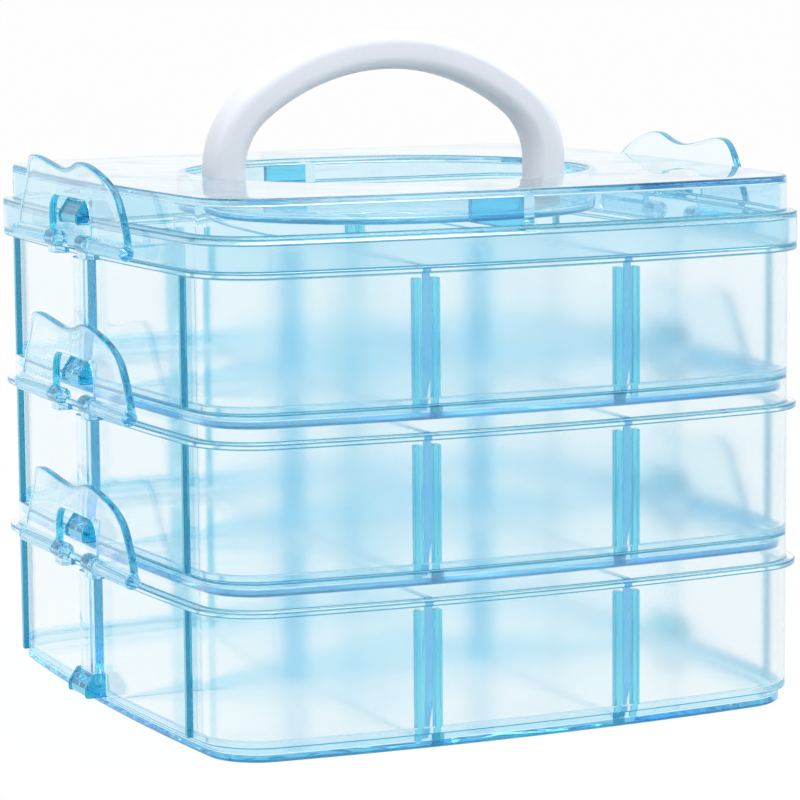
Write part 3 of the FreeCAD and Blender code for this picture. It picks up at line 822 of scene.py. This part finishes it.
def latch_tint_and_painted_shade(x, y, z, normal):
    """Painted dark lines of shade on the plate's narrow edges, a deeper blue on the barrels that is partly
    real tint and partly painted light, and pale tint on its two broad faces.
    """
    height = z - AXIS_Z
    through = LATCH_INNER - lean(height) - x
    edge = (through > EDGE_MARGIN) & (through < LATCH_THICKNESS - EDGE_MARGIN)
    barrel = z < AXIS_Z + BARREL_RADIUS + HAIR
    window = (abs(y) < WINDOW_HALF + WINDOW_MARGIN) & (z < AXIS_Z + WINDOW_HEIGHT + WINDOW_MARGIN)
    edge_shade = np.where(window, WINDOW_EDGE_SHADE, BELL_EDGE_SHADE) * edge
    return np.where(barrel, BARREL_TINT_AND_LIGHT, PLATE_TINT + edge_shade)


tinted(latch_mesh, latch_tint_and_painted_shade)
right_latch = latch_mesh.copy()
right_latch.transform(Matrix.Rotation(math.pi, 4, "Z"))
for tier, name in enumerate(TIERS):
    for side, mesh in (("left", latch_mesh), ("right", right_latch)):
        node = "%s_latch_%s" % (name, side)
        place(lifted(mesh, node, tier * TIER_PITCH), node, latch_plastic)
print("latch", len(latch_mesh.vertices), "points")

# %% [markdown]
# ## The lid
#
# The lid has a skirt over the top tray's rim, a ledge, a raised deck and a round pan that the handle
# folds into. Outside and underside are one closed skin, so its rings change on the way from the box's
# plan to the pan's. Both outlines are read at the same angles round the middle, and the flat deck
# between them hides the change.

# %% Lid shell
LID_BASE = TIER_PITCH * len(TIERS)
SKIRT_IN, SKIRT_OUT, SKIRT_BOTTOM = 0.6, 2.2, LID_BASE - TIER_PITCH + FLANGE_TOP + SEAT_GAP
LEDGE_BOTTOM, LEDGE_TOP, LID_TOP = LID_BASE + 3.7, LID_BASE + 4.9, LID_BASE + 13.4
TOP_INSET, LID_WALL, DECK, PAN_FLOOR = 0.3, 1.4, 1.5, 1.2
PAN_X, PAN_Y, PAN_ROUND, PAN_STEPS = 48.0, 46.0, 42.0, 90
DECK_IN, PAN_IN, PAN_OUT = -6, -6, 4


def pan_outline():
    """The pan's rounded plan, read where the same angles round the middle cross it."""
    points, away = rectangle(-PAN_X, PAN_X, -PAN_Y, PAN_Y, PAN_ROUND, PAN_STEPS)
    at = np.arctan2(points[:, 1], points[:, 0])
    order = np.argsort(at)
    wanted = np.arctan2(plan[:, 1], plan[:, 0])
    read = [np.interp(wanted, at[order], column[order], period=2 * math.pi)
            for column in np.concatenate([points, away], 1).T]
    return np.stack(read[:2], 1), np.stack(read[2:], 1)


pan = pan_outline()
DECK_UNDER, PAN_TOP = LID_TOP - DECK, LEDGE_BOTTOM + PAN_FLOOR
under_pan = [(PAN_IN, LEDGE_BOTTOM, 0), (LID_WALL, LEDGE_BOTTOM, 0.8), (LID_WALL, DECK_UNDER, 0.4),
             (PAN_OUT, DECK_UNDER, 0)]
round_box = [(DECK_IN, DECK_UNDER, 0), (-TOP_INSET - LID_WALL, DECK_UNDER, 0.6),
             (-TOP_INSET - LID_WALL, LEDGE_BOTTOM, 0.4), (SKIRT_IN, LEDGE_BOTTOM, 0.4),
             (SKIRT_IN, SKIRT_BOTTOM, 0.4), (SKIRT_OUT, SKIRT_BOTTOM, 0.4), (SKIRT_OUT, LEDGE_TOP, 0.5),
             (-TOP_INSET, LEDGE_TOP, 0.4), (-TOP_INSET, LID_TOP, 0.9), (DECK_IN, LID_TOP, 0)]
over_pan = [(PAN_OUT, LID_TOP, 0), (0, LID_TOP, 0.6), (0, PAN_TOP, 1.2), (PAN_IN, PAN_TOP, 0)]
lid_rings = np.concatenate([carried(eased(stations), outline) for stations, outline in
                            ((under_pan, pan), (round_box, box), (over_pan, pan))])
lid_shell = skin(lid_rings)
print("lid shell", lid_rings.shape)

# %% Bosses, deck ribs and lid lugs
HANDLE_Z, BOSS_END, BOSS_HALF, BORE_RADIUS = LID_BASE + 10.2, PAN_X + 5.0, 5.5, 1.96
BOSS_BELOW, BOSS_ROUND, BOSS_EASE, DECK_RIB_HALF = 3.9, 0.5, 0.4, 1.3
deck_middle, bore_end = LID_TOP - DECK / 2, BOSS_END + BORE_OVERRUN
boss = bar(rectangle(-BOSS_END, -PAN_X - LID_WALL / 2, -BOSS_HALF, BOSS_HALF, BOSS_ROUND),
           HANDLE_Z - BOSS_BELOW, deck_middle, BOSS_EASE)
deck_rib = bar(rectangle(-DECK_RIB_HALF, DECK_RIB_HALF, PAN_Y + LID_WALL / 2,
                         BOX_DEPTH / 2 - TOP_INSET - LID_WALL / 2, RIB_EASE),
               LEDGE_BOTTOM, deck_middle, RIB_EASE)
lid_lug = lug(SIDE_X + TOP_INSET + LID_WALL / 2, LID_BASE + LUG_BOTTOM)
bore = bar(circle((0, HANDLE_Z), BORE_RADIUS), -bore_end, bore_end, BORE_EASE, axes="yzx")
lid_mesh = fused("lid", lid_shell, [both_sides(boss, deck_rib, lid_lug)], [bore])
print("lid", len(lid_mesh.vertices), "points")

# %% Tint and painted light of the lid
# Lug, boss, deck rib and wall values are partly real tint and partly painted light; eased edges get painted
# shade lines.
LID_LUG_TINT_AND_LIGHT, BOSS_TINT_AND_LIGHT, DECK_RIB_TINT_AND_LIGHT, LID_WALL_TINT_AND_LIGHT = 0.93, 0.6, 0.5, 0.3
TOP_BAND, TOP_LINE_LOW, LEDGE_MARGIN, WALL_MARGIN = 1, 0.5, 0.1, 2


def lid_tint_and_painted_light(x, y, z, normal):
    """The larger of two: the tint of the lug, boss, deck rib or upright wall that the face's middle lies
    on, partly real and partly painted light, and the painted shade line of an eased edge. Round the deck
    only the upper half of the edge has the painted line."""
    ax, ay = abs(x), abs(y)
    catch = (ax > BOX_WIDTH / 2 + SKIRT_OUT + NEAR) | (
        (ax > BOX_WIDTH / 2) & (ay < LUG_WIDTH / 2 + NEAR)
        & (z > LEDGE_TOP + NEAR) & (z < LEDGE_TOP + LUG_HEIGHT))
    under = (z > LEDGE_BOTTOM + LEDGE_MARGIN) & (z < DECK_UNDER + NEAR)
    end = under & (ax > PAN_X + LID_WALL + NEAR) & (ax < BOSS_END + NEAR) & (ay < BOSS_HALF + NEAR)
    rib = under & (ax < DECK_RIB_HALF + NEAR) & (ay > PAN_Y + LID_WALL + NEAR) & \
        (ay < BOX_DEPTH / 2 - WALL_MARGIN)
    wall = (abs(normal[2]) < NEARLY_UPRIGHT) & (np.maximum(ax, ay) > OUTER_WALL)
    at_top = z > LID_TOP - TOP_BAND
    top_edge_shade = at_top & (normal[2] > TOP_LINE_LOW) & (normal[2] < STRIP_HIGH)
    lines = np.where(at_top, top_edge_shade, painted_edge_shade(x, y, normal))
    part = LID_LUG_TINT_AND_LIGHT * catch + BOSS_TINT_AND_LIGHT * end + DECK_RIB_TINT_AND_LIGHT * rib + LID_WALL_TINT_AND_LIGHT * (wall & ~catch)
    return np.maximum(part, lines)


tinted(lid_mesh, lid_tint_and_painted_light)
place(lid_mesh, "lid", lid_plastic)
print("lid faces", len(lid_mesh.polygons))

# %% [markdown]
# ## The handle
#
# The handle is a rounded bar bent to a three-centred arch: straight feet, round shoulders and a
# flatter crown. Its feet are round about the pins, so that it can fold flat into the pan. The section
# is carried along the arch, and at the feet it thins to follow the round end.

# %% Handle
SPAN, RISE, STRAIGHT, SHOULDER = 42.9, 32.0, 4.0, 20.0
BAR_X, BAR_Y, BAR_ROUND, BAR_STEPS = 4.6, 5.0, 3.2, 8
HANDLE_PIN, HANDLE_PIN_LENGTH, HANDLE_PIN_EASE = 1.9, 4.2, 0.3
FOOT_LOWEST, FOOT_HIGHEST = 86, 4


def handle_arch(foot_steps=4, arc_steps=20):
    """Centre line and outward direction, right foot to left: a line, an arc of the shoulder radius, and a
    crown whose radius makes both arcs share a tangent."""
    rise, run = RISE - STRAIGHT, SPAN - SHOULDER
    crown = (run ** 2 + rise ** 2 - SHOULDER ** 2) / (2 * (rise - SHOULDER))
    bend = math.atan2(crown - rise, run)
    spring = HANDLE_Z + STRAIGHT
    up_foot = np.linspace(HANDLE_Z, spring, foot_steps, endpoint=False)
    foot = np.stack([np.full(foot_steps, SPAN), up_foot], 1)
    shoulder = arc((run, spring), SHOULDER, 0, bend, arc_steps)
    top = arc((0, spring + rise - crown), crown, bend, math.pi / 2, arc_steps)
    points = np.concatenate([foot, shoulder[0], top[0]])
    away = np.concatenate([np.tile([1.0, 0], (foot_steps, 1)), shoulder[1], top[1]])
    crown_point, crown_away = np.array([[0, spring + rise]]), np.array([[0, 1.0]])
    return (np.concatenate([points, crown_point, points[::-1] * [-1, 1]]),
            np.concatenate([away, crown_away, away[::-1] * [-1, 1]]))


def handle_bar(end_steps=14):
    """Rounded section carried along the arch. Below the pins, at angle a, the ring drops by half the
    depth * sin a and its depth is half the depth * cos a."""
    line, away = handle_arch()
    section = rectangle(-BAR_X, BAR_X, -BAR_Y, BAR_Y, BAR_ROUND, BAR_STEPS)[0]
    a = np.radians(np.linspace(FOOT_LOWEST, FOOT_HIGHEST, end_steps))
    drop = np.stack([np.full(len(a), SPAN), HANDLE_Z - BAR_Y * np.sin(a)], 1)
    line = np.concatenate([drop, line, drop[::-1] * [-1, 1]])
    level = np.tile([1.0, 0], (len(a), 1))
    away = np.concatenate([level, away, -level])
    depth = np.concatenate([np.cos(a), np.ones(len(line) - 2 * len(a)), np.cos(a)[::-1]])
    flat = line[:, None] + away[:, None] * section[None, :, :1]
    deep = section[None, :, 1] * depth[:, None]
    return skin(np.stack([flat[..., 0], deep, flat[..., 1]], -1))


pin_end = SPAN + BAR_X + HANDLE_PIN_LENGTH
handle_pins = together(*[bar(circle((0, HANDLE_Z), HANDLE_PIN), x0, x1, HANDLE_PIN_EASE, axes="yzx")
                         for x0, x1 in ((SPAN, pin_end), (-pin_end, -SPAN))])
handle_mesh = fused("handle", handle_bar(), [handle_pins])
place(handle_mesh, "handle", handle_plastic)
print("handle", len(handle_mesh.vertices), "points")

# %% [markdown]
# ## Floor, lamps and world
#
# The picture has a plain white ground with hardly a shadow. The floor is a pale sweep that curves up
# behind the box. Off gloss and through the plastic it shows as plain white. Seen straight by the
# camera it keeps a small part of its own lit surface, so that the shadow stays. The lamps are large
# and soft, at a level at which a colour renders about as it is written. The side of the room behind
# the camera is a little darker, which gives the clear edges their lines.

# %% Floor sweep
FLOOR_WHITE_SHARE, FLOOR_COLOUR, WHITE = 0.975, (0.86, 0.87, 0.88, 1), (1, 1, 1, 1)


def sweep(half_width=3.0, front=-4.0, near=-1, run=2.2, radius=1.2, wall=2.5, sunk=0.0002, steps=24):
    """Profile of floor, quarter circle and wall in depth and height, carried along x, in metres. The
    quarter circle is (run + radius * sin a, radius * (1 - cos a))."""
    a = np.linspace(0, math.pi / 2, steps)
    level = np.concatenate([[front], np.linspace(near, run, 4)])
    depth = np.concatenate([level, run + radius * np.sin(a)[1:], [run + radius]])
    height = np.concatenate([np.zeros(len(level)), radius * (1 - np.cos(a))[1:], [radius + wall]]) - sunk
    n = len(depth)
    points = np.stack([np.repeat([-half_width, half_width], n), np.tile(depth, 2), np.tile(height, 2)], 1)
    k = np.arange(n - 1)
    return points, np.stack([k, k + n, k + n + 1, k + 1], 1)


points, faces = sweep()
floor_mesh = bpy.data.meshes.new("floor")
floor_mesh.from_pydata(points.tolist(), [], faces.tolist())
floor_mesh.polygons.foreach_set("use_smooth", np.ones(len(faces), bool))
floor = bpy.data.objects.new("floor", floor_mesh)
scene.collection.objects.link(floor)
print("floor", len(faces), "faces")

# %% Floor paint
def seen(tree, straight=1.0):
    """1 for rays off gloss or through clear plastic, a share for rays straight from the camera, and 0
    for the rest: the largest of the three."""
    path = Wire.node(tree, "LightPath")
    names = ["Is Camera Ray", "Is Glossy Ray", "Is Transmission Ray"]
    rays = [Wire(tree, path.socket.node.outputs[name]) for name in names]
    first = rays[0].combined("MAXIMUM", rays[0] * straight, rays[1])
    return first.combined("MAXIMUM", first, rays[2])


floor_paint, tree = new_tree("pale floor")
lit = Wire.node(tree, "BsdfDiffuse", {}, {"Color": FLOOR_COLOUR})
glow = Wire.node(tree, "Emission", {}, {"Color": WHITE, "Strength": 1.0})
shown = Wire.node(tree, "MixShader", {}, {0: seen(tree, FLOOR_WHITE_SHARE), 1: lit, 2: glow})
Wire.node(tree, "OutputMaterial", {}, {"Surface": shown})
floor_paint.cycles.emission_sampling = "NONE"
floor_mesh.materials.append(floor_paint)
print("floor paint", floor_paint.name)

# %% Lamps
LAMP_AIM = np.array([0, 0, 0.08])


def lamp(name, at, size, power):
    """Soft round lamp: its back points from the aim to the lamp, its side is level, and its up is back
    cross side."""
    light = bpy.data.lights.new(name, "AREA")
    light.shape, light.size, light.energy = "DISK", size, power
    obj = bpy.data.objects.new(name, light)
    away = np.asarray(at, float) - LAMP_AIM
    away /= np.linalg.norm(away)
    side = np.cross([0, 0, 1], away)
    side /= np.linalg.norm(side)
    stand(obj, (side, np.cross(away, side), away), at)


lamp("lamp over the box", (0.1, -0.15, 1.3), 1.0, 9.0)
lamp("lamp at the left", (-1.2, -0.6, 0.9), 0.8, 5.0)
lamp("lamp at the right", (1.2, -0.8, 0.8), 0.8, 6.0)

# %% World and light paths
ROOM = [(0.70, WHITE), (0.95, (0.70, 0.82, 0.88, 1))]
SKY_COLOUR, SKY_STRENGTH = (0.90, 0.94, 1.0, 1), 0.55
CLEAR_BOUNCES, SHADOW_BOUNCES = 96, 64

world = bpy.data.worlds.new("studio")
scene.world = world
world.use_nodes = True
world.cycles.sampling_method = "NONE"
tree = world.node_tree
tree.nodes.clear()
direction = Wire.node(tree, "TexCoord", output="Generated")
toward = Wire.node(tree, "VectorMath", {"operation": "DOT_PRODUCT"}, {0: direction, 1: tuple(back)},
                   output="Value")
room = Wire.node(tree, "ValToRGB", {"stops": ROOM}, {"Fac": toward * 0.5 + 0.5})
bright = Wire.node(tree, "Background", {}, {"Color": room, "Strength": 1.0})
plain = Wire.node(tree, "Background", {}, {"Color": SKY_COLOUR, "Strength": SKY_STRENGTH})
shown = Wire.node(tree, "MixShader", {}, {0: seen(tree), 1: plain, 2: bright})
Wire.node(tree, "OutputWorld", {}, {"Surface": shown})

scene.view_settings.view_transform = "Standard"
scene.cycles.max_bounces = CLEAR_BOUNCES
scene.cycles.transmission_bounces = CLEAR_BOUNCES
scene.cycles.glossy_bounces = CLEAR_BOUNCES
scene.cycles.transparent_max_bounces = SHADOW_BOUNCES
print("world", world.name, "with up to", CLEAR_BOUNCES, "bounces")
